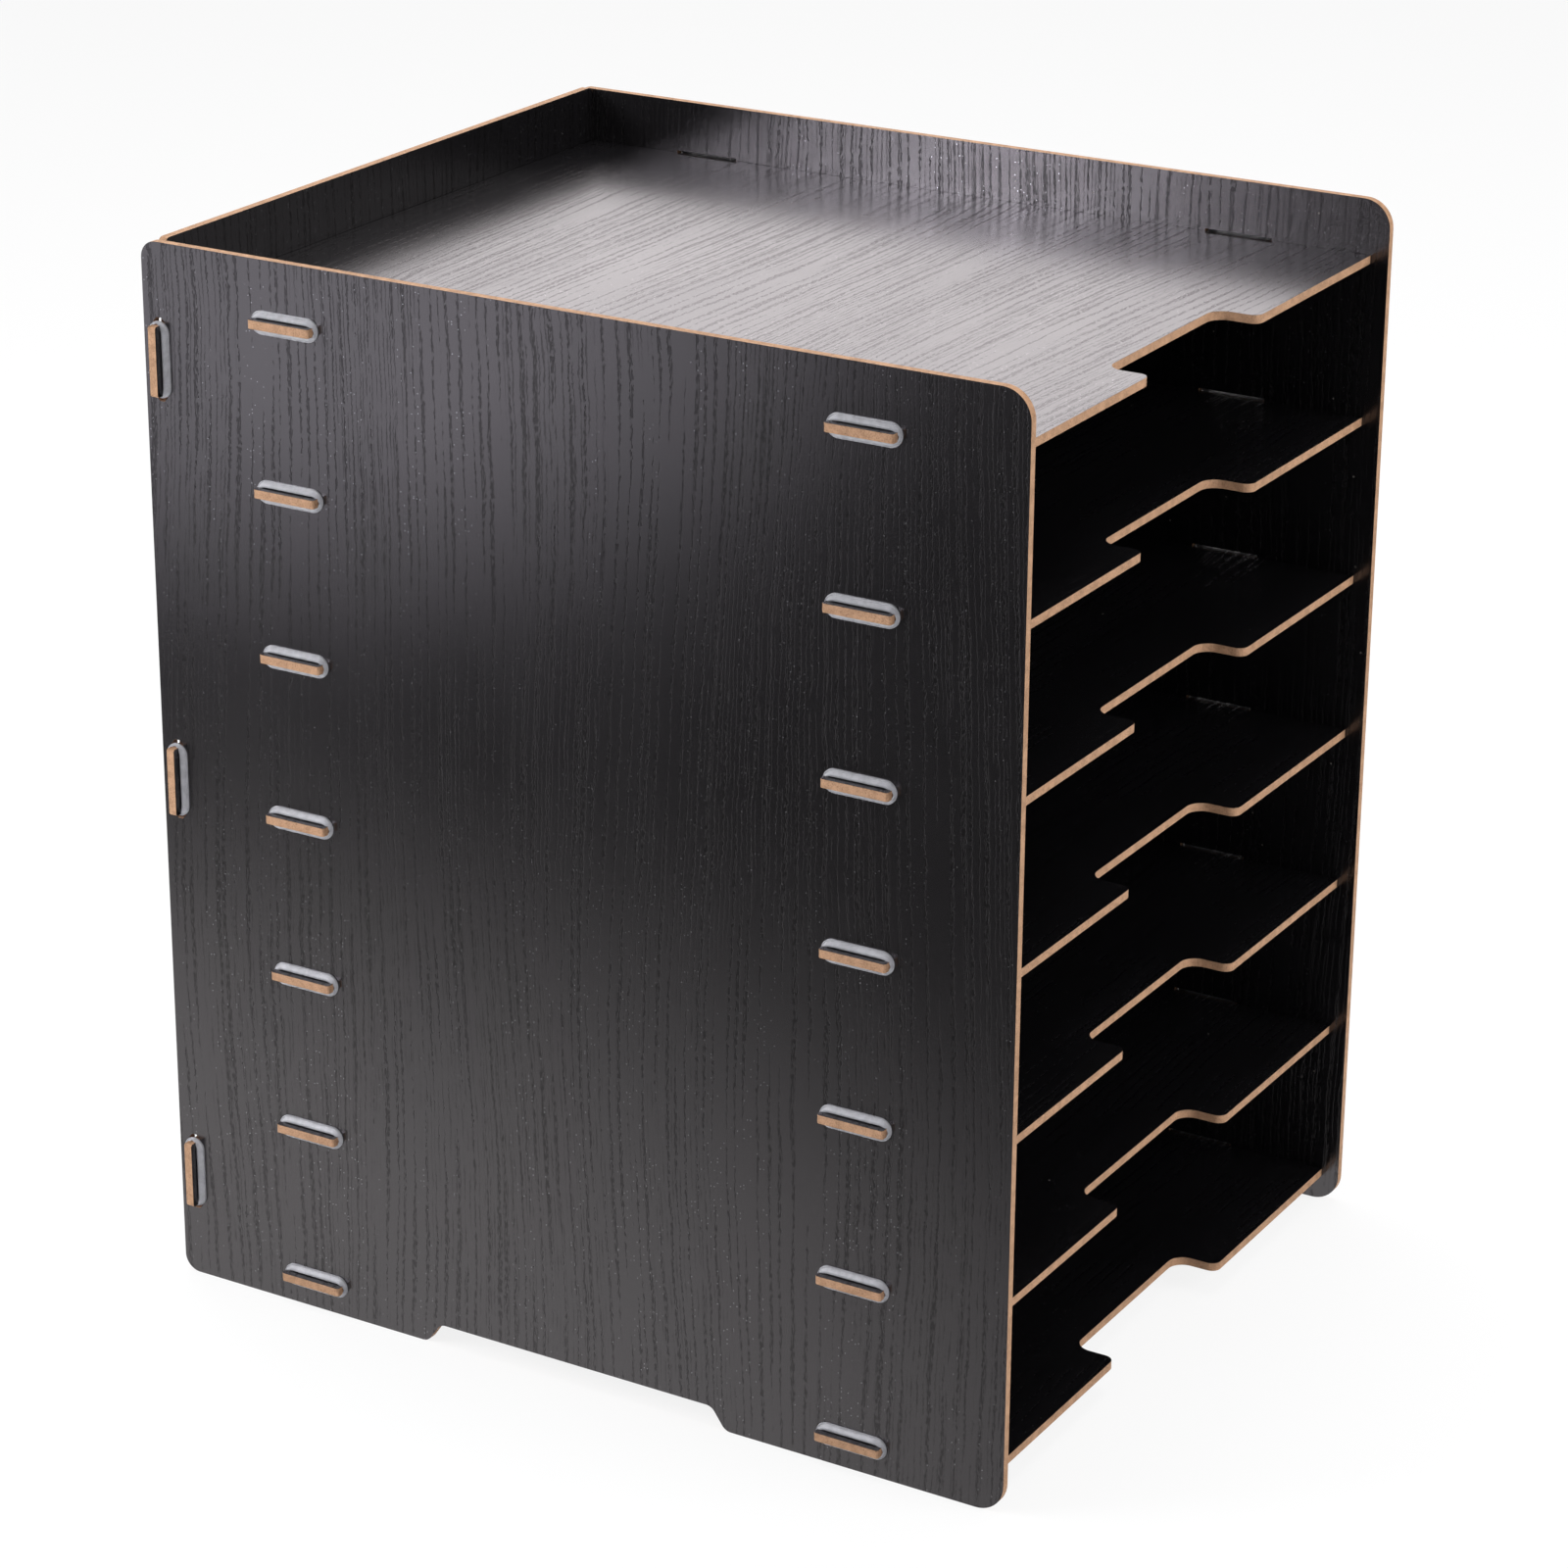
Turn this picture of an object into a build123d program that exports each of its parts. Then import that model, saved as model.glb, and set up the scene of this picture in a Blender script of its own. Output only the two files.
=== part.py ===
from build123d import *
import os

# A knock-down paper rack: seven shelves and a back panel, held between two side
# panels by tabs, slots and push-on buckles. Millimetres, front towards -Y, up +Z.
# The origin is on the table, midway between the side panels and their ends.

# Board that every flat piece is cut from
board = 3.0

# Space for the papers
bay_width = 258.5
bay_height = 54.7
shelf_count = 7
shelf_depth = 315.5
under_clear = 9.3
tray_wall = 19.5

# How far the side panels run past the shelves and the back panel
shelf_inset = 6.5
rear_overhang = 4.8

# Side panel outline
front_corner = 10.0
rear_corner = 6.0
foot_gap_width = 120.4
foot_gap_height = 7.8
foot_gap_lean = 5.4
foot_round = 4.0

# Finger notch in the front edge of every shelf
notch_width = 79.2
notch_depth = 15.8
notch_inner_round = 6.0
notch_tip_round = 3.5

# Tabs, measured from the panel's outer face and from the ends of the board
tab_length = 24.2
tab_reach = 4.2
tab_corner = 0.6
shelf_tab_setback = 49.8
back_tab_setback = 40.0

# Back panel
back_rise = 0.6
back_foot_clear = 1.0
back_corner = 2.5

# Clearances
shoulder_gap = 0.1
back_gap = 0.2
opening_gap = 0.15
slot_gap = 0.1
slot_end_gap = 0.6
back_slot_play = 1.7
back_slot_corner = 1.4

# Buckle: an oval flange that slopes up to a ridge, with two legs that grip the tab in its slot
flange_side = 2.4
flange_end = 0.95
flange_thickness = 1.6
rim_height = 0.5
ridge_land = 0.75
leg_wall = 0.55
leg_depth = 1.2
leg_length = 18.0

# Sizes that follow
shelf_pitch = bay_height + board
panel_height = under_clear + shelf_count * board + (shelf_count - 1) * bay_height + tray_wall
panel_depth = shelf_inset + shelf_depth + back_gap + board + rear_overhang
outer_width = bay_width + 2 * board
tab_span = outer_width + 2 * tab_reach
shelf_width = bay_width - 2 * shoulder_gap

shelf_front = -panel_depth / 2 + shelf_inset
shelf_middle = shelf_front + shelf_depth / 2
shelf_tab_offset = shelf_depth / 2 - shelf_tab_setback
shelf_tab_places = {"front": shelf_middle - shelf_tab_offset, "rear": shelf_middle + shelf_tab_offset}
shelf_undersides = [under_clear + level * shelf_pitch for level in range(shelf_count)]

back_rear_face = panel_depth / 2 - rear_overhang
back_middle = back_rear_face - board / 2
back_height = panel_height + back_rise - back_foot_clear
back_tab_places = {
    "low": back_tab_setback,
    "middle": panel_height / 2,
    "high": panel_height - back_tab_setback,
}

opening_length = tab_length + 2 * opening_gap
opening_width = board + 2 * opening_gap
flange_length = opening_length + 2 * flange_end
flange_width = opening_width + 2 * flange_side
ridge_width = opening_width + 2 * ridge_land
leg_spacing = opening_width + leg_wall
slot_width = opening_width + 2 * (leg_wall + slot_gap)
slot_length = tab_length + 2 * slot_end_gap
back_slot_length = slot_length + 2 * back_slot_play

touch = 0.01


def within(half_width):
    """Picks the corners that lie no further than this from the middle of an outline."""
    return lambda corner: abs(corner.X) < half_width + touch


def save(piece, name):
    """Labels a finished piece and writes it to its own file."""
    piece.part.label = name
    export_step(piece.part, f"parts/{name}.step")


def side_panel(left_face):
    """Upright panel whose left face is at the given X. Its outline is drawn in Y and Z."""
    with BuildSketch() as back_slot:
        Rectangle(slot_width, back_slot_length)
        chamfer(back_slot.vertices(), back_slot_corner)

    with BuildPart() as panel:
        with BuildSketch(Plane.YZ.offset(left_face)) as outline:
            with Locations((0, panel_height / 2)):
                Rectangle(panel_depth, panel_height)
            fillet(outline.vertices().group_by(Axis.X)[0], front_corner)
            fillet(outline.vertices().group_by(Axis.X)[-1], rear_corner)

            # Gap in the lower edge that leaves a foot at the front and at the rear
            half_low = foot_gap_width / 2
            half_high = half_low - foot_gap_lean
            with BuildLine():
                Polyline(
                    (-half_low, 0),
                    (-half_high, foot_gap_height),
                    (half_high, foot_gap_height),
                    (half_low, 0),
                    close=True,
                )
            make_face(mode=Mode.SUBTRACT)
            fillet(outline.vertices().filter_by(within(half_low)), foot_round)

            # Slots for the shelf tabs
            for underside in shelf_undersides:
                for place in shelf_tab_places.values():
                    with Locations((place, underside + board / 2)):
                        Rectangle(slot_length, slot_width, mode=Mode.SUBTRACT)

            # Slots for the back panel, longer than their tabs so that the panel drops in
            for place in back_tab_places.values():
                with Locations((back_middle, place)):
                    add(back_slot.sketch, mode=Mode.SUBTRACT)
        extrude(amount=board)
    return panel


def shelf(underside):
    """Flat shelf with two tabs at each end and the finger notch in its front edge."""
    with BuildPart() as tray:
        with BuildSketch(Plane.XY.offset(underside)) as outline:
            with Locations((0, shelf_middle)):
                Rectangle(shelf_width, shelf_depth)
            for place in shelf_tab_places.values():
                with Locations((0, place)):
                    Rectangle(tab_span, tab_length)
            tab_ends = outline.vertices().group_by(Axis.X)
            chamfer(tab_ends[0] + tab_ends[-1], tab_corner)

            with Locations((0, shelf_front)):
                Rectangle(notch_width, notch_depth, align=(Align.CENTER, Align.MIN), mode=Mode.SUBTRACT)
            in_notch = within(notch_width / 2)
            fillet(outline.vertices().filter_by(in_notch).group_by(Axis.Y)[-1], notch_inner_round)
            fillet(outline.vertices().filter_by(in_notch).group_by(Axis.Y)[0], notch_tip_round)
        extrude(amount=board)
    return tray


def back_panel():
    """Closing panel between the side panels, with three tabs at each end."""
    with BuildPart() as panel:
        with BuildSketch(Plane.XZ.offset(-back_rear_face)) as outline:
            with Locations((0, back_foot_clear + back_height / 2)):
                Rectangle(shelf_width, back_height)
            fillet(outline.vertices().group_by(Axis.Y)[-1], back_corner)
            for place in back_tab_places.values():
                with Locations((0, place)):
                    Rectangle(tab_span, tab_length)
            tab_ends = outline.vertices().group_by(Axis.X)
            chamfer(tab_ends[0] + tab_ends[-1], tab_corner)
        extrude(amount=board)
    return panel


def buckle(seat):
    """Push-on buckle. The seat plane lies on the panel, with X along the tab and Z outwards."""
    across = Plane(origin=seat.origin, x_dir=seat.y_dir, z_dir=seat.x_dir)
    half_width = flange_width / 2
    half_ridge = ridge_width / 2
    with BuildPart() as ring:
        with BuildSketch(across):
            with BuildLine():
                Polyline(
                    (-half_width, 0),
                    (-half_width, rim_height),
                    (-half_ridge, flange_thickness),
                    (half_ridge, flange_thickness),
                    (half_width, rim_height),
                    (half_width, 0),
                    close=True,
                )
            make_face()
        extrude(amount=flange_length / 2, both=True)

        # The oval outline
        with BuildSketch(seat):
            SlotOverall(flange_length, flange_width)
        extrude(amount=flange_thickness, mode=Mode.INTERSECT)

        with BuildSketch(seat):
            Rectangle(opening_length, opening_width)
        extrude(amount=flange_thickness, mode=Mode.SUBTRACT)

        with BuildSketch(seat):
            with GridLocations(leg_length, leg_spacing, 1, 2):
                Rectangle(leg_length, leg_wall)
        extrude(amount=-leg_depth)
    return ring


os.makedirs("parts", exist_ok=True)

save(side_panel(-outer_width / 2), "side_panel_left")
save(side_panel(bay_width / 2), "side_panel_right")
save(back_panel(), "back_panel")

for number, underside in enumerate(shelf_undersides, start=1):
    save(shelf(underside), f"shelf_{number}")

for side, outward in (("left", -1), ("right", 1)):
    face = outward * outer_width / 2
    for number, underside in enumerate(shelf_undersides, start=1):
        for end, place in shelf_tab_places.items():
            middle = (face, place, underside + board / 2)
            seat = Plane(origin=middle, x_dir=(0, 1, 0), z_dir=(outward, 0, 0))
            save(buckle(seat), f"buckle_{side}_shelf_{number}_{end}")
    for level, place in back_tab_places.items():
        middle = (face, back_middle, place)
        seat = Plane(origin=middle, x_dir=(0, 0, 1), z_dir=(outward, 0, 0))
        save(buckle(seat), f"buckle_{side}_back_{level}")
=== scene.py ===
# %% [markdown]
# # A knock-down paper rack in Blender
# Seven shelves and a back panel of thin black laminated board stand between two side panels. Every board
# ends in tabs that pass through slots in the sides, and a frosted plastic buckle is pushed over each tab.
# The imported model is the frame: it fixes every size, and this script only dresses it. Lengths are in metres,
# the front looks towards -Y, and Z is up.

# %% The frame
import math

import bmesh
import bpy
from mathutils import Matrix, Vector


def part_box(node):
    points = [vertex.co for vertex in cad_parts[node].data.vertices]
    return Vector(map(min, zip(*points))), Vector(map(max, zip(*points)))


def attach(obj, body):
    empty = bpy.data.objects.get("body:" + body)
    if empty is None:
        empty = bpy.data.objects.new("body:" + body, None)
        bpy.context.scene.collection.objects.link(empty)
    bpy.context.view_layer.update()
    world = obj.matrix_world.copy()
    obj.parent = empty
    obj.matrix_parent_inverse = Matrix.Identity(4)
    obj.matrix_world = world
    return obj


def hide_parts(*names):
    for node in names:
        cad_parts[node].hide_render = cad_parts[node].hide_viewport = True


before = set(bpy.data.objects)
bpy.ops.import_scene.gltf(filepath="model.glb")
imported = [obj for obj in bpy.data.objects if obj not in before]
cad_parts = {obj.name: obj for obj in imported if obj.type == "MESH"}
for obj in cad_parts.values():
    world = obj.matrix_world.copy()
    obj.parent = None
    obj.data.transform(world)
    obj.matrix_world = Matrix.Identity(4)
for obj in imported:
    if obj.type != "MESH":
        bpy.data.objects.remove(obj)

MM = 0.001
scene = bpy.context.scene
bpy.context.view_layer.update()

# %% [markdown]
# ## The camera
# The rack was photographed from its left front corner, a little above the top tray, with a long lens. The
# focal length, the place and the angles were worked out from the corners of the panels. They could be set by
# eye in the viewport, but numbers keep the same view in every run.

# %% Camera
PHOTO_PIXELS = 1600
FOCAL_PIXELS = 4698.3
LENS_AXIS_PIXEL = (758.4, 756.5)
SENSOR = 36.0
AZIMUTH = math.radians(-59.025)
ELEVATION = math.radians(21.027)
ROLL = math.radians(0.19)
CAMERA_PLACE = Vector((-1.28929, -0.76088, 0.76673))

level_back = Vector((math.sin(AZIMUTH), -math.cos(AZIMUTH), 0.0))
view_back = level_back * math.cos(ELEVATION) + Vector((0.0, 0.0, math.sin(ELEVATION)))
level_right = Vector((math.cos(AZIMUTH), math.sin(AZIMUTH), 0.0))
level_up = view_back.cross(level_right)
view_right = level_right * math.cos(ROLL) + level_up * math.sin(ROLL)
view_up = level_up * math.cos(ROLL) - level_right * math.sin(ROLL)

camera_lens = bpy.data.cameras.new("photo_camera")
camera_lens.sensor_fit = "HORIZONTAL"
camera_lens.sensor_width = SENSOR
camera_lens.lens = SENSOR * FOCAL_PIXELS / PHOTO_PIXELS
camera_lens.shift_x = 0.5 - LENS_AXIS_PIXEL[0] / PHOTO_PIXELS
camera_lens.shift_y = LENS_AXIS_PIXEL[1] / PHOTO_PIXELS - 0.5
camera = bpy.data.objects.new("photo_camera", camera_lens)
camera.matrix_world = Matrix.Translation(CAMERA_PLACE) @ Matrix(
    (view_right, view_up, view_back)).transposed().to_4x4()
scene.collection.objects.link(camera)
scene.camera = camera
scene.view_settings.view_transform = "Standard"
print("lens:", round(camera_lens.lens, 1), "mm, at", round(CAMERA_PLACE.length, 2), "m")

# %% [markdown]
# ## Node helpers
# Materials and geometry trees are both built from nodes, and both need the same few moves: add a node, link or
# set its inputs, do arithmetic, mix colours and draw noise. Small functions keep the later cells short.


# %% Helpers for node trees
def feed(tree, socket, value):
    """Links a socket to another node's output, or sets it to a plain value."""
    if isinstance(value, bpy.types.NodeSocket):
        tree.links.new(value, socket)
    else:
        socket.default_value = value


def add_node(tree, kind, settings=None, inputs=None):
    """Adds a node, with its settings by name and its inputs by socket name or number."""
    node = tree.nodes.new(kind)
    for name, value in (settings or {}).items():
        setattr(node, name, value)
    for socket, value in (inputs or {}).items():
        feed(tree, node.inputs[socket], value)
    return node


def maths(tree, operation, *values):
    """One arithmetic step on sockets or plain numbers."""
    return add_node(tree, "ShaderNodeMath", {"operation": operation}, dict(enumerate(values))).outputs[0]


def blend_colours(tree, amount, first, second):
    """First colour where the amount is 0, second where it is 1."""
    inputs = {"Factor": amount, 6: first, 7: second}
    return add_node(tree, "ShaderNodeMix", {"data_type": "RGBA"}, inputs).outputs[2]


def rise(tree, value, start, end):
    """A smooth step: 0 below start, 1 above end."""
    inputs = {"Value": value, "From Min": start, "From Max": end}
    return add_node(tree, "ShaderNodeMapRange", {"interpolation_type": "SMOOTHSTEP"}, inputs).outputs[0]


def noise(tree, point, per_metre, layers, roughness):
    """Noise between 0 and 1, with so many waves per metre and finer layers of the given strength."""
    inputs = {"Vector": point, "Scale": per_metre, "Detail": layers, "Roughness": roughness}
    return add_node(tree, "ShaderNodeTexNoise", None, inputs).outputs[0]


def point_of(tree, x, y, z):
    """Joins three numbers to a point."""
    return add_node(tree, "ShaderNodeCombineXYZ", None, {"X": x, "Y": y, "Z": z}).outputs[0]


# %% [markdown]
# ## The stage
# The photograph is a studio shot on white: nothing but the rack has a colour. A wide floor gives that. The
# camera sees it as white, with a share of ordinary paint that keeps a soft shadow under the rack. Shiny surfaces
# see it white near the rack and dimmer further out, because a studio floor ends somewhere, and that dark edge
# is what draws the long soft gradient on the near panel. A plain backdrop colour would leave the panel flat.

# %% Floor and world
FLOOR_REACH = 8.0
FLOOR_WHITE = (0.93, 0.93, 0.935, 1.0)
FLOOR_GLOW = 0.85
MIRRORED_GLOW = 0.97
SWEEP_STRETCH = (1.35, 1.0, 1.0)
SWEEP_MIDDLE = (0.281, 0.514, 0.0)
SWEEP_NEAR = 0.63
SWEEP_FAR = 1.12
SWEEP_DIM = 0.01
WORLD_LEVEL = 0.36
MIRRORED_WORLD = 0.50
WHITE = (1.0, 1.0, 1.0, 1.0)


def ray_kinds(tree):
    """Two switches: 1 for rays from the camera, and 1 for rays that shiny or clear surfaces send on."""
    path = tree.nodes.new("ShaderNodeLightPath").outputs
    return path["Is Camera Ray"], maths(tree, "MAXIMUM", path["Is Glossy Ray"], path["Is Transmission Ray"])


floor_paint = bpy.data.materials.new("studio_floor")
floor_paint.use_nodes = True
tree = floor_paint.node_tree
tree.nodes.clear()
paint = add_node(tree, "ShaderNodeBsdfDiffuse", None, {"Color": FLOOR_WHITE})
spot = tree.nodes.new("ShaderNodeTexCoord").outputs["Object"]
oval = add_node(tree, "ShaderNodeVectorMath", {"operation": "MULTIPLY"}, {0: spot, 1: SWEEP_STRETCH})
away = add_node(tree, "ShaderNodeVectorMath", {"operation": "DISTANCE"}, {0: oval.outputs[0], 1: SWEEP_MIDDLE})
camera_ray, mirrored_ray = ray_kinds(tree)
dim = maths(tree, "MULTIPLY", rise(tree, away.outputs["Value"], SWEEP_NEAR, SWEEP_FAR), 1.0 - SWEEP_DIM)
strength = maths(tree, "SUBTRACT", 1.0, maths(tree, "MULTIPLY", dim, mirrored_ray))
glow = add_node(tree, "ShaderNodeEmission", None, {"Color": WHITE, "Strength": strength})
share = maths(tree, "MULTIPLY", mirrored_ray, MIRRORED_GLOW)
share = maths(tree, "MULTIPLY_ADD", camera_ray, FLOOR_GLOW, share)
mixed = add_node(tree, "ShaderNodeMixShader", None, {0: share, 1: paint.outputs[0], 2: glow.outputs[0]})
add_node(tree, "ShaderNodeOutputMaterial", None, {"Surface": mixed.outputs[0]})

floor_mesh = bpy.data.meshes.new("studio_floor")
corners = [(-1, -1), (1, -1), (1, 1), (-1, 1)]
floor_mesh.from_pydata([(x * FLOOR_REACH, y * FLOOR_REACH, 0.0) for x, y in corners], [], [(0, 1, 2, 3)])
floor_mesh.materials.append(floor_paint)
floor = bpy.data.objects.new("studio_floor", floor_mesh)
scene.collection.objects.link(floor)

world = bpy.data.worlds.new("studio_white")
world.use_nodes = True
scene.world = world
tree = world.node_tree
tree.nodes.clear()
camera_ray, mirrored_ray = ray_kinds(tree)
level = maths(tree, "MULTIPLY_ADD", mirrored_ray, MIRRORED_WORLD - WORLD_LEVEL, WORLD_LEVEL)
level = maths(tree, "MULTIPLY_ADD", camera_ray, 1.0 - WORLD_LEVEL, level)
sky = add_node(tree, "ShaderNodeBackground", None, {"Color": WHITE, "Strength": level})
add_node(tree, "ShaderNodeOutputWorld", None, {"Surface": sky.outputs[0]})
print("floor", 2 * FLOOR_REACH, "m wide, world level", WORLD_LEVEL)

# %% [markdown]
# ## The lamps
# Three softboxes give the plain light that shows the brown board edges in their own colour: in front, above,
# and behind on the left. Black laminate shows almost nothing but reflections, so cards stand where it mirrors
# them to the camera: a wide one behind on the right whitens the top tray, a high one on the left reaches the far
# panel by way of the tray, and three low ones in a stack give the near panel its pale, soft upper corner. The
# cards reach only shiny surfaces and leave the plain light alone.

# %% Lamps
BOX, OVAL = "RECTANGLE", "ELLIPSE"
NEUTRAL = (1.0, 1.0, 1.0)
WARM = (1.0, 0.945, 0.96)
COOL = (0.92, 0.92, 1.0)
TRAY = (0.0, 0.0, 0.36)
CORNER = (-0.13, 0.14, 0.36)
SOFTBOXES = {
    "softbox_front": (BOX, (0.2, -2.0, 1.2), (0.0, 0.0, 0.2), (1.4, 1.4), 5.0, NEUTRAL),
    "softbox_above": (BOX, (0.3, 0.2, 2.2), (0.0, 0.0, 0.3), (1.6, 1.6), 4.8, NEUTRAL),
    "softbox_left_rear": (BOX, (-0.7, 0.85, 0.55), (-0.1, 0.05, 0.25), (0.60, 0.90), 7.0, NEUTRAL),
}
CARDS = {
    "card_right_rear": (BOX, (2.0, 1.25, 1.15), TRAY, (2.6, 2.0), 1.66, WARM),
    "card_left_high": (OVAL, (-1.02, 0.60, 0.70), TRAY, (0.24, 0.32), 26.5, COOL),
    "card_left_small": (OVAL, (-0.56, 0.40, 0.22), CORNER, (0.26, 0.14), 0.50, COOL),
    "card_left_middle": (OVAL, (-0.58, 0.41, 0.23), CORNER, (0.42, 0.24), 0.50, COOL),
    "card_left_large": (OVAL, (-0.60, 0.43, 0.24), CORNER, (0.54, 0.36), 0.53, COOL),
}


def add_lamp(name, shape, place, target, size, radiance, colour):
    """Soft sheet of light that looks at a target and isn't seen by the camera."""
    light = bpy.data.lights.new(name, "AREA")
    light.shape = shape
    light.size, light.size_y = size
    area = size[0] * size[1] * (math.pi / 4 if shape == OVAL else 1.0)
    light.energy = radiance * math.pi * area
    light.color = colour
    lamp = bpy.data.objects.new(name, light)
    aim = Vector(target) - Vector(place)
    lamp.matrix_world = Matrix.Translation(place) @ aim.to_track_quat("-Z", "Y").to_matrix().to_4x4()
    lamp.visible_camera = False
    scene.collection.objects.link(lamp)
    print(name, round(light.energy, 1), "W")
    return lamp


for name, settings in SOFTBOXES.items():
    lamp = add_lamp(name, *settings)
    lamp.visible_glossy = False
for name, settings in CARDS.items():
    lamp = add_lamp(name, *settings)
    lamp.visible_diffuse = False
    lamp.visible_transmission = False

# %% [markdown]
# ## Pressed wood grain
# The laminate is printed film with a wood grain pressed into it: pores about a millimetre wide that
# wander, thicken and break off, a few millimetres apart, with finer ones in some bands. An image of real
# grain would do, but it would repeat. Here the distance to the borders of one-dimensional cells draws the
# lines, and three noises bend, wobble and fray them. A mask of tiny dots between the lines marks painted
# glints, which the laminate makes pale and mirror-like. All three laminates share it as a group.

# %% Grain group
# Lengths are in millimetres. A cloud is noise with so many waves per millimetre across and along the grain, and
# a third number for its finer layers. A pair named range is where a mask starts and where it is full.
GRAIN_UNIT = 1000.0
BOARD_SHIFT = 7.3
SPACING_RANDOM = 0.9

SWAY_CLOUD = (0.011, 0.0042)
SWAY_WIDTH = 18.0
WAVE_CLOUD = (0.07, 0.06)
WAVE_WIDTH = 1.0
JAG_CLOUD = (0.95, 0.75, 1.0)
JAG_WIDTH = 0.9

PORE_SPACING = 4.0
PORE_SOFTNESS = 0.12
SWELL_CLOUD = (0.15, 0.016)
SWELL_WIDTH = 1.6
SWELL_BASE = -0.79
BREAK_CLOUD = (0.8, 0.25, 1.0)
BREAK_WIDTH = 0.6
ISLAND_CLOUD = (2.0, 0.40)
ISLAND_RANGE = (0.50, 0.58)
ISLAND_FILL = 0.85

FINE_SPACING = 1.9
FINE_SOFTNESS = 0.10
FINE_SHARE = 0.7
THIN_CLOUD = (0.4, 0.10, 1.0)
THIN_WIDTH = 0.7
THIN_BASE = -0.30
BAND_CLOUD = (0.035, 0.005)
BAND_RANGE = (0.36, 0.52)

GLINTS_PER_MM = 0.8
GLINT_CHANCE_RANGE = (0.93, 0.94)
GLINT_RADIUS_RANGE = (0.07, 0.15)
COLUMN_CLOUD = (0.10, 0.004)
COLUMN_RANGE = (0.48, 0.60)

SKIN_CLOUD = (1.7, 1.4, 1.0)
SKIN_SHARE = 0.14
TONE_CLOUD = (0.02, 0.006, 2.0)


def grain_lines(tree, across, spacing, half_width, softness):
    """Lines at irregular distances: 1 inside a line, 0 between the lines. All in millimetres."""
    cells = add_node(tree, "ShaderNodeTexVoronoi",
                     {"voronoi_dimensions": "1D", "feature": "DISTANCE_TO_EDGE"},
                     {"W": across, "Scale": 1.0 / spacing, "Randomness": SPACING_RANDOM})
    distance = maths(tree, "MULTIPLY", cells.outputs["Distance"], spacing)
    outer = maths(tree, "ADD", half_width, softness)
    return maths(tree, "SUBTRACT", 1.0, rise(tree, distance, half_width, outer))


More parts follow.
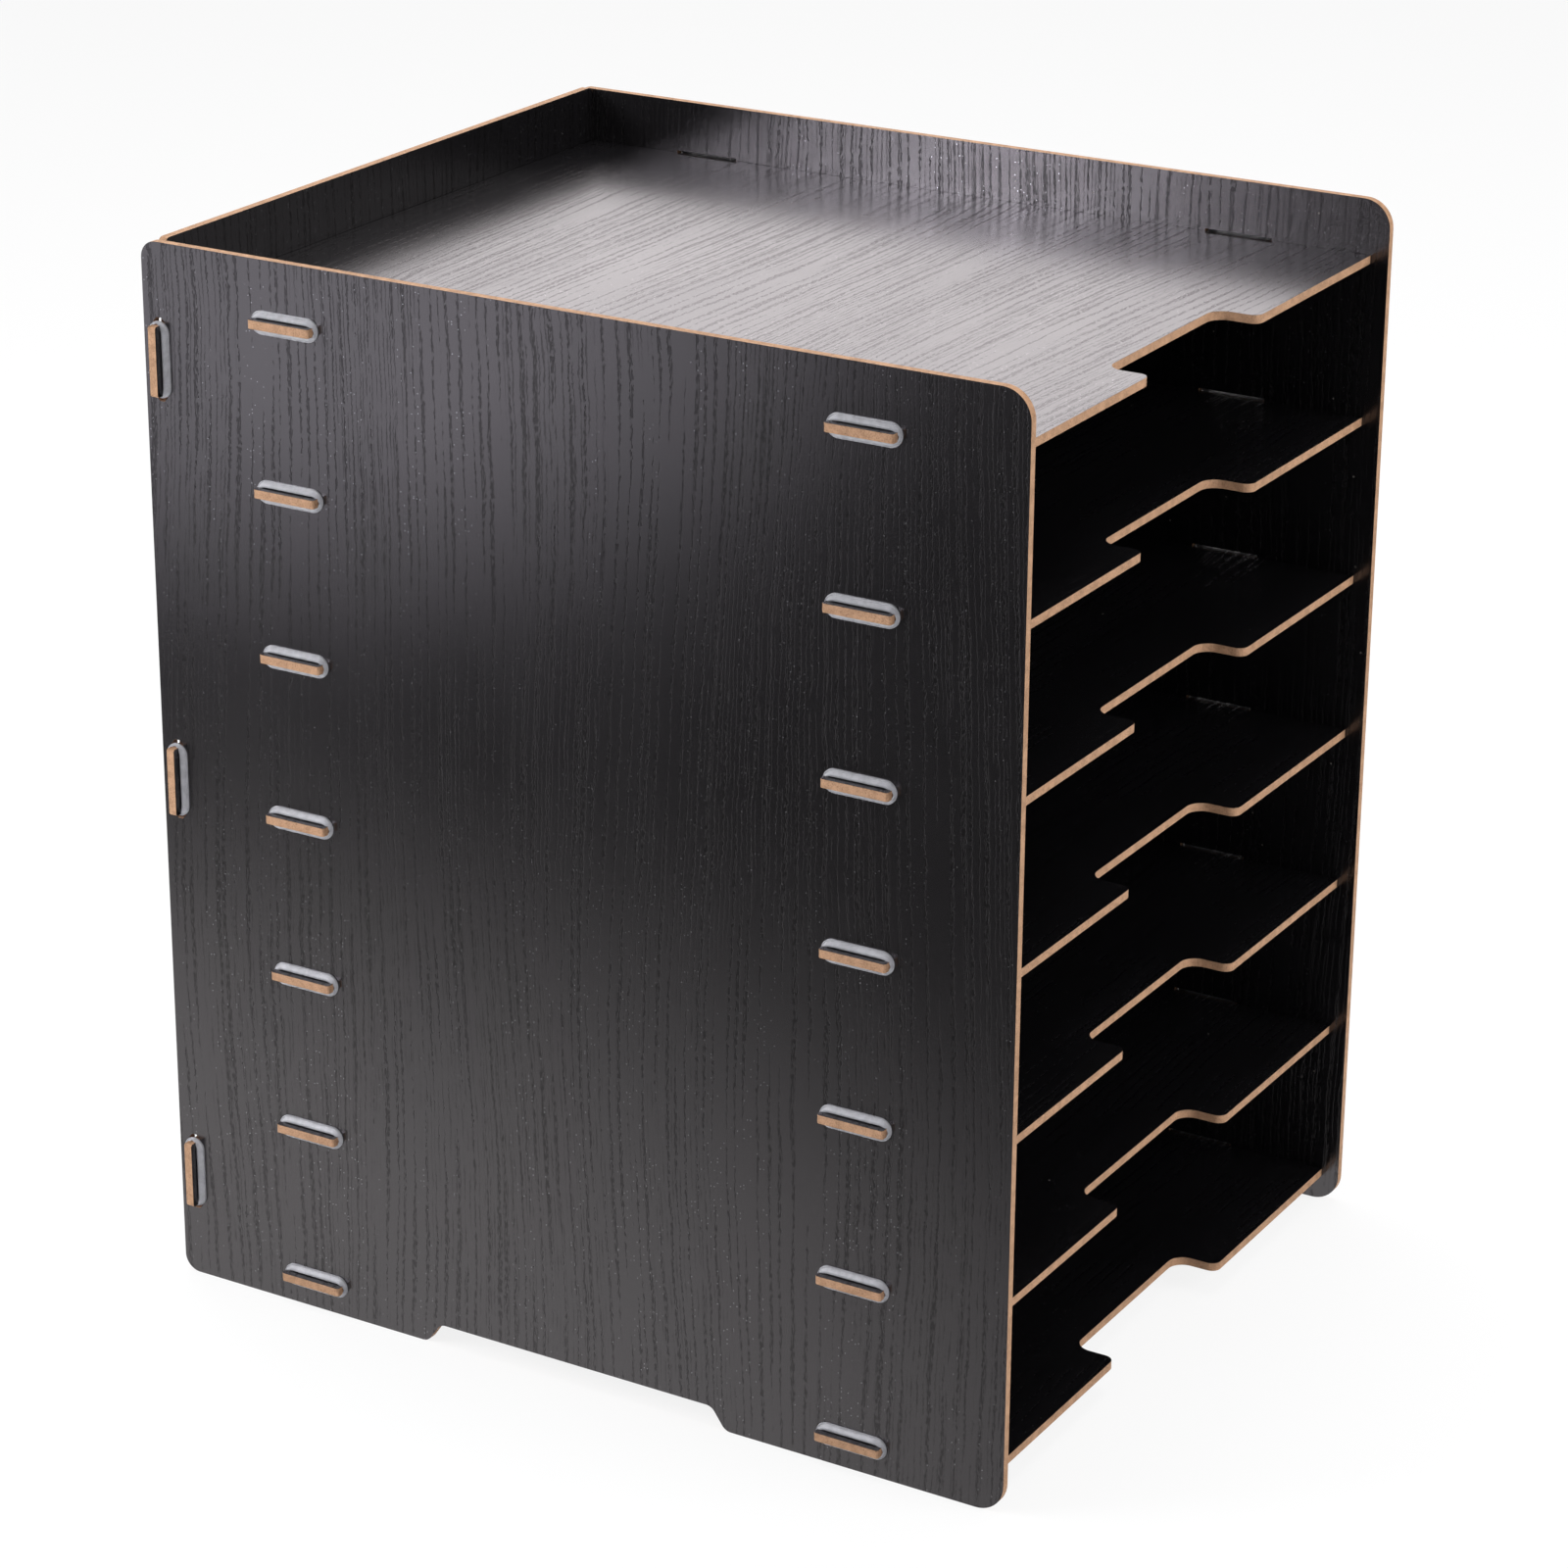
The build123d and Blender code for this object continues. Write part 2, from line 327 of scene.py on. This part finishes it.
def make_grain_group():
    """Group from a place on a board (metres) to the pores, the relief, the tone of the film and its glints."""
    group = bpy.data.node_groups.new("pressed_grain", "ShaderNodeTree")
    for name in ("Across", "Along", "Board"):
        group.interface.new_socket(name, in_out="INPUT", socket_type="NodeSocketFloat")
    for name in ("Pore", "Relief", "Tone", "Glint"):
        group.interface.new_socket(name, in_out="OUTPUT", socket_type="NodeSocketFloat")
    given = group.nodes.new("NodeGroupInput")
    result = group.nodes.new("NodeGroupOutput")

    # Every board is cut from another strip of the same endless film
    strip = maths(group, "MULTIPLY_ADD", given.outputs["Board"], BOARD_SHIFT, given.outputs["Across"])
    across = maths(group, "MULTIPLY", strip, GRAIN_UNIT)
    along = maths(group, "MULTIPLY", given.outputs["Along"], GRAIN_UNIT)

    def stretched(per_across, per_along):
        """The place on the film, stretched along the grain."""
        x = maths(group, "MULTIPLY", across, per_across)
        y = maths(group, "MULTIPLY", along, per_along)
        return point_of(group, x, y, 0.0)

    def clouds(per_across, per_along, detail=0.0):
        """Noise stretched along the grain."""
        inputs = {"Vector": stretched(per_across, per_along), "Scale": 1.0, "Detail": detail}
        return add_node(group, "ShaderNodeTexNoise", {"noise_dimensions": "2D"}, inputs).outputs[0]

    def spread(value, width):
        """Turns a cloud around 0.5 into a shift of so many millimetres around 0."""
        return maths(group, "MULTIPLY_ADD", value, width, -width / 2)

    sway = maths(group, "ADD", spread(clouds(*SWAY_CLOUD), SWAY_WIDTH), spread(clouds(*WAVE_CLOUD), WAVE_WIDTH))
    line = maths(group, "ADD", across, maths(group, "ADD", sway, spread(clouds(*JAG_CLOUD), JAG_WIDTH)))

    # Main pores: as wide as the clouds say, gone where that falls below nothing, split by slim islands
    slow = maths(group, "MULTIPLY_ADD", clouds(*SWELL_CLOUD), SWELL_WIDTH, SWELL_BASE)
    wide = maths(group, "MULTIPLY_ADD", clouds(*BREAK_CLOUD), BREAK_WIDTH, slow)
    islands = rise(group, clouds(*ISLAND_CLOUD), *ISLAND_RANGE)
    main = grain_lines(group, line, PORE_SPACING, wide, PORE_SOFTNESS)
    main = maths(group, "MULTIPLY", main, maths(group, "MULTIPLY_ADD", islands, -ISLAND_FILL, 1.0))

    # Fine pores, in most bands of the board
    band = rise(group, clouds(*BAND_CLOUD), *BAND_RANGE)
    thin = maths(group, "MULTIPLY_ADD", clouds(*THIN_CLOUD), THIN_WIDTH, THIN_BASE)
    fine = maths(group, "MULTIPLY", grain_lines(group, line, FINE_SPACING, thin, FINE_SOFTNESS), band)

    # Painted glints: tiny facets in columns, which the laminate paints pale and polishes
    facets = add_node(group, "ShaderNodeTexVoronoi", {"voronoi_dimensions": "2D"},
                      {"Vector": stretched(GLINTS_PER_MM, GLINTS_PER_MM), "Scale": 1.0})
    chance = add_node(group, "ShaderNodeSeparateColor", None, {"Color": facets.outputs["Color"]}).outputs[0]
    columns = rise(group, clouds(*COLUMN_CLOUD), *COLUMN_RANGE)
    chosen = maths(group, "MULTIPLY", rise(group, chance, *GLINT_CHANCE_RANGE), columns)
    dot = maths(group, "SUBTRACT", 1.0, rise(group, facets.outputs["Distance"], *GLINT_RADIUS_RANGE))

    pore = maths(group, "MAXIMUM", main, maths(group, "MULTIPLY", fine, FINE_SHARE))
    skin = maths(group, "MULTIPLY", clouds(*SKIN_CLOUD), SKIN_SHARE)
    relief = maths(group, "SUBTRACT", skin, pore)
    group.links.new(pore, result.inputs["Pore"])
    group.links.new(relief, result.inputs["Relief"])
    group.links.new(clouds(*TONE_CLOUD), result.inputs["Tone"])
    group.links.new(maths(group, "MULTIPLY", dot, chosen), result.inputs["Glint"])
    return group


pressed_grain = make_grain_group()
print("grain group:", len(pressed_grain.nodes), "nodes")

# %% [markdown]
# ## Handling marks
# A rack that has been put together by hand has faint smudges where it was held and a few pale specks of
# board dust. One group gives both: a broad smudge that dulls every piece and a mask of tiny specks for the
# laminates.

# %% Handling group
# A noise is given by its waves per metre, its finer layers and their strength
SMUDGE_NOISE = (14.0, 4.0, 0.6)
SPECKS_PER_METRE = 170.0
SPECK_CHANCE_RANGE = (0.965, 0.975)
SPECK_RADIUS_RANGE = (0.03, 0.07)


def make_handling_group():
    """Group from a point (metres) to a smudge around 0.5 and a mask of dust specks."""
    group = bpy.data.node_groups.new("handling_marks", "ShaderNodeTree")
    group.interface.new_socket("Point", in_out="INPUT", socket_type="NodeSocketVector")
    for name in ("Smudge", "Speck"):
        group.interface.new_socket(name, in_out="OUTPUT", socket_type="NodeSocketFloat")
    given = group.nodes.new("NodeGroupInput")
    result = group.nodes.new("NodeGroupOutput")
    smudge = noise(group, given.outputs[0], *SMUDGE_NOISE)
    dust = add_node(group, "ShaderNodeTexVoronoi", None, {
        "Vector": given.outputs[0], "Scale": SPECKS_PER_METRE, "Randomness": 1.0})
    # A cell holds a speck only where its own random colour says so
    chosen = add_node(group, "ShaderNodeSeparateColor", None, {"Color": dust.outputs["Color"]})
    rare = rise(group, chosen.outputs[0], *SPECK_CHANCE_RANGE)
    dot = maths(group, "SUBTRACT", 1.0, rise(group, dust.outputs["Distance"], *SPECK_RADIUS_RANGE))
    group.links.new(smudge, result.inputs["Smudge"])
    group.links.new(maths(group, "MULTIPLY", dot, rare), result.inputs["Speck"])
    return group


handling_marks = make_handling_group()
print("handling group:", len(handling_marks.nodes), "nodes")

# %% [markdown]
# ## Black laminate
# The film is a satin charcoal, smooth on the lands and rough in the pores. A darker colour and a share of
# black metal in the pores are painted shade, for the shade that falls inside them, and pale, polished dots are
# painted glints. Gloss does the rest: the pores also show because they blur what the lands mirror. The grain runs
# upright on the side and back panels and from side to side on the shelves, so each of the three materials names
# which axis lies across the grain, which runs along it and which goes through the board.

# %% Laminate materials
FILM_BLACK = (0.0050, 0.0047, 0.0054, 1.0)
# Painted shade: the darker colour inside the pores
PORE_SHADE_BLACK = (0.0030, 0.0028, 0.0030, 1.0)
DUST_PALE = (0.22, 0.20, 0.18, 1.0)
FILM_ROUGHNESS = 0.21
PORE_ROUGHNESS = 0.27
FILM_INDEX = 1.85
FILM_TINT = (1.0, 0.94, 0.965, 1.0)
# Painted shade: metal weight that dims the reflection inside the pores
PORE_SHADE_METAL = 0.38
PORE_DEPTH = 0.035 * MM
# Painted highlight: the pale colour of the glint dots
PAINTED_GLINT_PALE = (0.45, 0.45, 0.47, 1.0)
GLINT_POLISH = 0.10
SMUDGE_DULLING = 0.10
TONE_DULLING = 0.06


def place_group(tree, group, inputs):
    """Puts a shared group into a material."""
    node = add_node(tree, "ShaderNodeGroup", {"node_tree": group})
    for name, value in inputs.items():
        feed(tree, node.inputs[name], value)
    return node.outputs


def new_material(name):
    """Empty material with a Principled shader, and the point on the piece in metres."""
    material = bpy.data.materials.new(name)
    material.use_nodes = True
    tree = material.node_tree
    shader = tree.nodes["Principled BSDF"]
    point = tree.nodes.new("ShaderNodeTexCoord").outputs["Object"]
    return material, tree, shader, point


def bump(tree, shader, height, depth):
    """Relief of the given depth in metres."""
    node = add_node(tree, "ShaderNodeBump", None, {"Strength": 1.0, "Distance": depth, "Height": height})
    tree.links.new(node.outputs[0], shader.inputs["Normal"])


def make_laminate(name, across, along, through):
    """Laminate for boards whose grain and thickness run along the given axes."""
    material, tree, shader, point = new_material(name)
    axes = add_node(tree, "ShaderNodeSeparateXYZ", None, {0: point}).outputs
    grain = place_group(tree, pressed_grain, {
        "Across": axes[across], "Along": axes[along], "Board": axes[through]})
    marks = place_group(tree, handling_marks, {"Point": point})
    # Painted shade: the pores get a darker colour for the shade inside them
    film = blend_colours(tree, grain["Pore"], FILM_BLACK, PORE_SHADE_BLACK)
    # Painted highlight: the glint dots turn pale, and further down they also become polished metal that mirrors
    # the lamps
    film = blend_colours(tree, grain["Glint"], film, PAINTED_GLINT_PALE)
    feed(tree, shader.inputs["Base Color"], blend_colours(tree, marks["Speck"], film, DUST_PALE))
    base = maths(tree, "MULTIPLY_ADD", marks["Smudge"], SMUDGE_DULLING, FILM_ROUGHNESS - SMUDGE_DULLING / 2)
    base = maths(tree, "SUBTRACT", base, TONE_DULLING / 2)
    base = maths(tree, "MULTIPLY_ADD", grain["Tone"], TONE_DULLING, base)
    pores = maths(tree, "MULTIPLY", grain["Pore"], PORE_ROUGHNESS - FILM_ROUGHNESS)
    polish = maths(tree, "MULTIPLY", grain["Glint"], GLINT_POLISH)
    feed(tree, shader.inputs["Roughness"], maths(tree, "SUBTRACT", maths(tree, "ADD", base, pores), polish))
    shader.inputs["IOR"].default_value = FILM_INDEX
    shader.inputs["Specular Tint"].default_value = FILM_TINT
    # Painted shade: a share of metal weight in the pores dims what they mirror; the glint dots become mirror-like
    # metal
    pits = maths(tree, "MULTIPLY", grain["Pore"], PORE_SHADE_METAL)
    feed(tree, shader.inputs["Metallic"], maths(tree, "MAXIMUM", pits, grain["Glint"]))
    bump(tree, shader, grain["Relief"], PORE_DEPTH)
    return material


laminate_side = make_laminate("laminate_side", "Y", "Z", "X")
laminate_back = make_laminate("laminate_back", "X", "Z", "Y")
laminate_shelf = make_laminate("laminate_shelf", "Y", "X", "Z")
print("laminates:", laminate_side.name, laminate_back.name, laminate_shelf.name)

# %% [markdown]
# ## Sawn fibreboard
# Where the board is cut, its brown core shows: pressed wood fibre, matt and granular, lighter where a fibre
# bundle was torn and darker in the pits between. Two sizes of noise on the object's own coordinates give
# the mottle and the grains, and the low spots of the grains are the pits, so every cut edge is different.

# %% Board edge material
CORE_LIGHT = (0.46, 0.27, 0.16, 1.0)
CORE_DARK = (0.285, 0.16, 0.09, 1.0)
CORE_PIT = (0.11, 0.058, 0.03, 1.0)
CORE_ROUGHNESS = 0.78
CORE_DULLING = 0.12
GRAIN_NOISE = (2200.0, 3.0, 0.65)
MOTTLE_NOISE = (330.0, 3.0, 0.6)
GRAIN_SHARE = 0.55
MOTTLE_SHARE = 0.45
CORE_TONE_RANGE = (0.36, 0.64)
PIT_RANGE = (0.30, 0.42)
PIT_SHARE = 0.7
PIT_DEPTH = 0.10 * MM

fibre_edge, tree, shader, point = new_material("sawn_fibreboard")
grains = noise(tree, point, *GRAIN_NOISE)
mottle = noise(tree, point, *MOTTLE_NOISE)
tone = maths(tree, "MULTIPLY_ADD", grains, GRAIN_SHARE, maths(tree, "MULTIPLY", mottle, MOTTLE_SHARE))
core = blend_colours(tree, rise(tree, tone, *CORE_TONE_RANGE), CORE_DARK, CORE_LIGHT)
pits = maths(tree, "SUBTRACT", 1.0, rise(tree, grains, *PIT_RANGE))
marks = place_group(tree, handling_marks, {"Point": point})
core = blend_colours(tree, maths(tree, "MULTIPLY", pits, PIT_SHARE), core, CORE_PIT)
feed(tree, shader.inputs["Base Color"], core)
feed(tree, shader.inputs["Roughness"],
     maths(tree, "MULTIPLY_ADD", marks["Smudge"], CORE_DULLING, CORE_ROUGHNESS - CORE_DULLING / 2))
bump(tree, shader, grains, PIT_DEPTH)
print("edge material:", fibre_edge.name)

# %% [markdown]
# ## The ten boards
# The solids already have every outline, slot, notch and tab, so each board starts as a copy of its solid with
# the doubled points merged. Faces that look along the board's thickness get the film, all others the sawn
# core. A real cut edge isn't razor sharp: a small bevel in film black eases it and draws the thin dark border
# that the laminate has along each brown edge. The ends that butt against a side panel are eased more, and
# that leaves the fine dark line at the foot of the panel.

# %% Boards
WELD = 0.002 * MM
EDGE_EASE = 0.16 * MM
END_EASE = 0.50 * MM
END_ZONE = 0.3 * MM
EASE_STEPS = 2
FACE_ON = 0.9
BEND_LIMIT = math.radians(50.0)
SMOOTH_LIMIT = math.radians(30.0)
X, Y, Z = 0, 1, 2
FILM, CORE = 0, 1
bay_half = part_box("side_panel_right")[0].x


def make_board(name, node, through, laminate):
    """Dressed board in the place of a solid. through is the axis of its thickness."""
    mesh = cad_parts[node].data.copy()
    mesh.name = name
    mesh.materials.clear()
    mesh.materials.append(laminate)
    mesh.materials.append(fibre_edge)
    shape = bmesh.new()
    shape.from_mesh(mesh)
    bmesh.ops.remove_doubles(shape, verts=shape.verts, dist=WELD)
    for face in shape.faces:
        face.material_index = FILM if abs(face.normal[through]) > FACE_ON else CORE
        face.smooth = True
    open_edges = sum(1 for edge in shape.edges if not edge.is_manifold)

    # Shelf ends are eased in full, all other sharp edges by a share of that
    ease_share = shape.edges.layers.float.new("bevel_weight_edge")
    for edge in shape.edges:
        if edge.calc_face_angle(0.0) > BEND_LIMIT:
            at_end = all(abs(abs(corner.co.x) - bay_half) < END_ZONE for corner in edge.verts)
            edge[ease_share] = 1.0 if at_end and through == Z else EDGE_EASE / END_EASE
    shape.to_mesh(mesh)
    shape.free()

    mesh.set_sharp_from_angle(angle=SMOOTH_LIMIT)
    board = bpy.data.objects.new(name, mesh)
    scene.collection.objects.link(board)
    ease = board.modifiers.new("eased_edges", "BEVEL")
    ease.width = END_EASE
    ease.segments = EASE_STEPS
    ease.limit_method = "WEIGHT"
    ease.material = FILM
    even = board.modifiers.new("even_shading", "WEIGHTED_NORMAL")
    even.keep_sharp = True
    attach(board, "root")
    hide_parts(node)
    print(name, "faces:", len(mesh.polygons), "open edges:", open_edges)
    return board


SHELVES = 7
make_board("board_side_left", "side_panel_left", X, laminate_side)
make_board("board_side_right", "side_panel_right", X, laminate_side)
make_board("board_back", "back_panel", Y, laminate_back)
for number in range(1, SHELVES + 1):
    make_board(f"board_shelf_{number}", f"shelf_{number}", Z, laminate_shelf)

# %% [markdown]
# ## Frosted buckle plastic
# The buckles are soft natural plastic: pale grey, milky, with a dull shine on their ridges. Some light goes
# through, which lifts their shaded sides. A faint mottle and a very fine moulded texture keep them from
# looking like paint.

# %% Buckle material
PLASTIC_PALE = (0.53, 0.53, 0.57, 1.0)
PLASTIC_CLOUD = (0.43, 0.43, 0.465, 1.0)
PLASTIC_ROUGHNESS = 0.38
PLASTIC_DULLING = 0.16
PLASTIC_CLEARNESS = 0.25
PLASTIC_SHINE = 0.40
MILK_NOISE = (420.0, 3.0, 0.55)
MILK_RANGE = (0.35, 0.65)
MOULD_NOISE = (2600.0, 2.0, 0.5)
MOULD_DEPTH = 0.02 * MM

buckle_plastic, tree, shader, point = new_material("frosted_buckle")
milk = noise(tree, point, *MILK_NOISE)
mould = noise(tree, point, *MOULD_NOISE)
marks = place_group(tree, handling_marks, {"Point": point})
milky = blend_colours(tree, rise(tree, milk, *MILK_RANGE), PLASTIC_CLOUD, PLASTIC_PALE)
feed(tree, shader.inputs["Base Color"], milky)
feed(tree, shader.inputs["Roughness"],
     maths(tree, "MULTIPLY_ADD", marks["Smudge"], PLASTIC_DULLING, PLASTIC_ROUGHNESS - PLASTIC_DULLING / 2))
shader.inputs["Transmission Weight"].default_value = PLASTIC_CLEARNESS
shader.inputs["Specular IOR Level"].default_value = PLASTIC_SHINE
bump(tree, shader, mould, MOULD_DEPTH)
print("buckle material:", buckle_plastic.name)

# %% [markdown]
# ## The buckles
# Thirty-four equal mouldings grip the tabs, so one Geometry Nodes tree draws a buckle and sets it on every
# seat. The oval starts as a filleted rectangle. Its edge loop is extruded again and again, and after each step
# the new loop is pushed to its own length, width and height: rim, slope, ridge, and down the inner wall of the
# opening, which bows a little and leaves a dark gap beside the tab. Two legs reach into the slot.

# %% Buckle tree
BUCKLE_LENGTH = 26.4 * MM
BUCKLE_WIDTH = 8.1 * MM
BUCKLE_HEIGHT = 1.6 * MM
OVAL_POINTS = 112
END_POINTS = 24
FULL_ROUND = 0.4999
WELD_LOOPS = 0.001 * MM
OPENING_LENGTH = 24.9 * MM
OPENING_WIDTH = 3.3 * MM
OPENING_BOW = 0.12 * MM
LEG_LENGTH = 18.0 * MM
LEG_WALL = 0.55 * MM
LEG_DEPTH = 1.2 * MM

# The loops of a buckle: the measure that the length starts from and what is added, the same for the width, the
# share of the height, and whether the loop keeps to the opening
BUCKLE_LOOPS = [
    # Rim and groove
    ("Length", 0.0, "Width", 0.0, 0.30, False),
    ("Length", -0.20 * MM, "Width", -0.20 * MM, 0.46, False),
    ("Length", -0.42 * MM, "Width", -0.55 * MM, 0.50, False),
    ("Length", -0.60 * MM, "Width", -0.95 * MM, 0.40, False),
    ("Length", -0.75 * MM, "Width", -1.35 * MM, 0.48, False),
    # Slope and ridge
    ("Length", -1.00 * MM, "Opening Width", 2.0 * MM, 0.94, False),
    ("Length", -1.10 * MM, "Opening Width", 1.5 * MM, 1.0, False),
    ("Length", -1.20 * MM, "Opening Width", 0.75 * MM, 0.99, False),
    ("Length", -1.35 * MM, "Opening Width", 0.30 * MM, 0.95, False),
    # Wall of the opening, and the flat underside
    ("Opening Length", 0.0, "Width", -2.0 * MM, 0.86, True),
    ("Opening Length", 0.0, "Width", -2.0 * MM, 0.0, True),
    ("Length", 0.0, "Width", 0.0, 0.0, False),
]


def size_input(group, name, value):
    """Named length on a geometry tree, in metres."""
    socket = group.interface.new_socket(name, in_out="INPUT", socket_type="NodeSocketFloat")
    socket.subtype = "DISTANCE"
    socket.default_value = value


def make_buckle_tree():
    """Tree that sets a buckle on every point, turned by the point's seat_turn."""
    group = bpy.data.node_groups.new("tab_buckle", "GeometryNodeTree")
    group.interface.new_socket("Seats", in_out="INPUT", socket_type="NodeSocketGeometry")
    size_input(group, "Length", BUCKLE_LENGTH)
    size_input(group, "Width", BUCKLE_WIDTH)
    size_input(group, "Height", BUCKLE_HEIGHT)
    size_input(group, "Opening Length", OPENING_LENGTH)
    size_input(group, "Opening Width", OPENING_WIDTH)
    size_input(group, "Opening Bow", OPENING_BOW)
    group.interface.new_socket("Plastic", in_out="INPUT", socket_type="NodeSocketMaterial")
    group.interface.new_socket("Buckles", in_out="OUTPUT", socket_type="NodeSocketGeometry")
    given = group.nodes.new("NodeGroupInput").outputs
    result = group.nodes.new("NodeGroupOutput")

    # The oval: a rectangle with fully rounded ends, as a loop of edges
    box = add_node(group, "GeometryNodeCurvePrimitiveQuadrilateral", None,
                   {"Width": given["Length"], "Height": given["Width"]})
    half_width = maths(group, "MULTIPLY", given["Width"], FULL_ROUND)
    oval = add_node(group, "GeometryNodeFilletCurve", {"mode": "POLY"},
                    {"Curve": box.outputs[0], "Count": END_POINTS, "Radius": half_width, "Limit Radius": True})
    even = add_node(group, "GeometryNodeResampleCurve", None, {"Curve": oval.outputs[0], "Count": OVAL_POINTS})
    loop = add_node(group, "GeometryNodeCurveToMesh", None, {"Curve": even.outputs[0]})
    place = group.nodes.new("GeometryNodeInputPosition")
    store = add_node(group, "GeometryNodeStoreNamedAttribute", {"data_type": "FLOAT_VECTOR", "domain": "POINT"},
                     {"Geometry": loop.outputs[0], "Name": "oval_place", "Value": place.outputs[0]})
    kept = add_node(group, "GeometryNodeInputNamedAttribute", {"data_type": "FLOAT_VECTOR"},
                    {"Name": "oval_place"})
    axes = add_node(group, "ShaderNodeSeparateXYZ", None, {0: kept.outputs[0]}).outputs

    def loop_place(length, width, height, opening):
        """Where a loop's points go: the oval squeezed to a length and width, at a share of the height."""
        x = maths(group, "MULTIPLY", axes["X"], maths(group, "DIVIDE", length, given["Length"]))
        y = maths(group, "MULTIPLY", axes["Y"], maths(group, "DIVIDE", width, given["Width"]))
        if opening:
            along = maths(group, "DIVIDE", x, maths(group, "MULTIPLY", length, 0.5))
            arch = maths(group, "SUBTRACT", 1.0, maths(group, "MULTIPLY", along, along))
            half = maths(group, "MULTIPLY", given["Opening Width"], 0.5)
            limit = maths(group, "MULTIPLY_ADD", arch, given["Opening Bow"], half)
            y = maths(group, "MINIMUM", y, limit)
            y = maths(group, "MAXIMUM", y, maths(group, "MULTIPLY", limit, -1.0))
        return point_of(group, x, y, maths(group, "MULTIPLY", given["Height"], height))

    geometry = store.outputs[0]
    edge_pick = None
    for long_from, longer, wide_from, wider, height, opening in BUCKLE_LOOPS:
        length = maths(group, "ADD", given[long_from], longer)
        width = maths(group, "ADD", given[wide_from], wider)
        target = loop_place(length, width, height, opening)
        grown = add_node(group, "GeometryNodeExtrudeMesh", {"mode": "EDGES"},
                         {"Mesh": geometry, "Offset Scale": 0.0})
        if edge_pick is not None:
            group.links.new(edge_pick, grown.inputs["Selection"])
        edge_pick = grown.outputs["Top"]
        moved = add_node(group, "GeometryNodeSetPosition", None, {
            "Geometry": grown.outputs["Mesh"], "Selection": edge_pick, "Position": target})
        geometry = moved.outputs[0]
    shut = add_node(group, "GeometryNodeMergeByDistance", None, {"Geometry": geometry, "Distance": WELD_LOOPS})
    ring = add_node(group, "GeometryNodeFlipFaces", None, {"Mesh": shut.outputs[0]})

    # Two legs that go down into the slot, one on each side of the tab
    parts = group.nodes.new("GeometryNodeJoinGeometry")
    group.links.new(ring.outputs[0], parts.inputs[0])
    reach = maths(group, "MULTIPLY_ADD", given["Opening Width"], 0.5, LEG_WALL / 2)
    for side in (-1.0, 1.0):
        leg = add_node(group, "GeometryNodeMeshCube", None, {"Size": (LEG_LENGTH, LEG_WALL, LEG_DEPTH)})
        spot = point_of(group, 0.0, maths(group, "MULTIPLY", reach, side), -LEG_DEPTH / 2)
        set_leg = add_node(group, "GeometryNodeTransform", None,
                           {"Geometry": leg.outputs[0], "Translation": spot})
        group.links.new(set_leg.outputs[0], parts.inputs[0])

    turn = add_node(group, "GeometryNodeInputNamedAttribute", {"data_type": "FLOAT_VECTOR"}, {"Name": "seat_turn"})
    euler = add_node(group, "FunctionNodeEulerToRotation", None, {0: turn.outputs[0]})
    spread = add_node(group, "GeometryNodeInstanceOnPoints", None, {
        "Points": given["Seats"], "Instance": parts.outputs[0], "Rotation": euler.outputs[0]})
    real = add_node(group, "GeometryNodeRealizeInstances", None, {"Geometry": spread.outputs[0]})
    dressed = add_node(group, "GeometryNodeSetMaterial", None,
                       {"Geometry": real.outputs[0], "Material": given["Plastic"]})
    group.links.new(dressed.outputs[0], result.inputs[0])
    return group


tab_buckle = make_buckle_tree()
print("buckle tree:", len(tab_buckle.nodes), "nodes")

# %% [markdown]
# ## Seats for the buckles
# Each solid buckle tells where its seat is: the middle of its box across the panel, and the panel's outer face.
# Buckles on shelf tabs lie flat, those on the back panel's tabs stand upright. A bare point per seat, with a
# stored turn, is all that the tree needs.

# %% Buckles
SHARP_LIMIT = math.radians(38.0)


def seat_of(node):
    """Point on the panel under a buckle and the turn that lays the buckle's X along the tab."""
    low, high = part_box(node)
    middle = (low + high) / 2
    outward = 1.0 if middle.x > 0 else -1.0
    panel_low, panel_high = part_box("side_panel_right" if outward > 0 else "side_panel_left")
    face = panel_high.x if outward > 0 else panel_low.x
    along = Vector((0, 0, 1)) if high.z - low.z > high.y - low.y else Vector((0, 1, 0))
    out = Vector((outward, 0, 0))
    turn = Matrix((along, out.cross(along), out)).transposed().to_euler()
    return Vector((face, middle.y, middle.z)), turn


def make_buckles(side):
    """All buckles of one side panel as one plain mesh."""
    nodes = sorted(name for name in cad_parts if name.startswith(f"buckle_{side}_"))
    seats = [seat_of(node) for node in nodes]
    points = bpy.data.meshes.new(f"seats_{side}")
    points.from_pydata([place for place, turn in seats], [], [])
    turns = points.attributes.new("seat_turn", "FLOAT_VECTOR", "POINT")
    for number, (place, turn) in enumerate(seats):
        turns.data[number].vector = turn[:]
    carrier = bpy.data.objects.new(f"seats_{side}", points)
    scene.collection.objects.link(carrier)
    modifier = carrier.modifiers.new("buckles", "NODES")
    modifier.node_group = tab_buckle
    for item in tab_buckle.interface.items_tree:
        if item.name == "Plastic":
            modifier[item.identifier] = buckle_plastic
    graph = bpy.context.evaluated_depsgraph_get()
    mesh = bpy.data.meshes.new_from_object(carrier.evaluated_get(graph))
    bpy.data.objects.remove(carrier)
    mesh.name = f"buckles_{side}"
    mesh.shade_smooth()
    mesh.set_sharp_from_angle(angle=SHARP_LIMIT)
    buckles = bpy.data.objects.new(f"buckles_{side}", mesh)
    scene.collection.objects.link(buckles)
    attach(buckles, "root")
    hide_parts(*nodes)
    print(buckles.name, "seats:", len(nodes), "faces:", len(mesh.polygons))
    return buckles


for side in ("left", "right"):
    make_buckles(side)
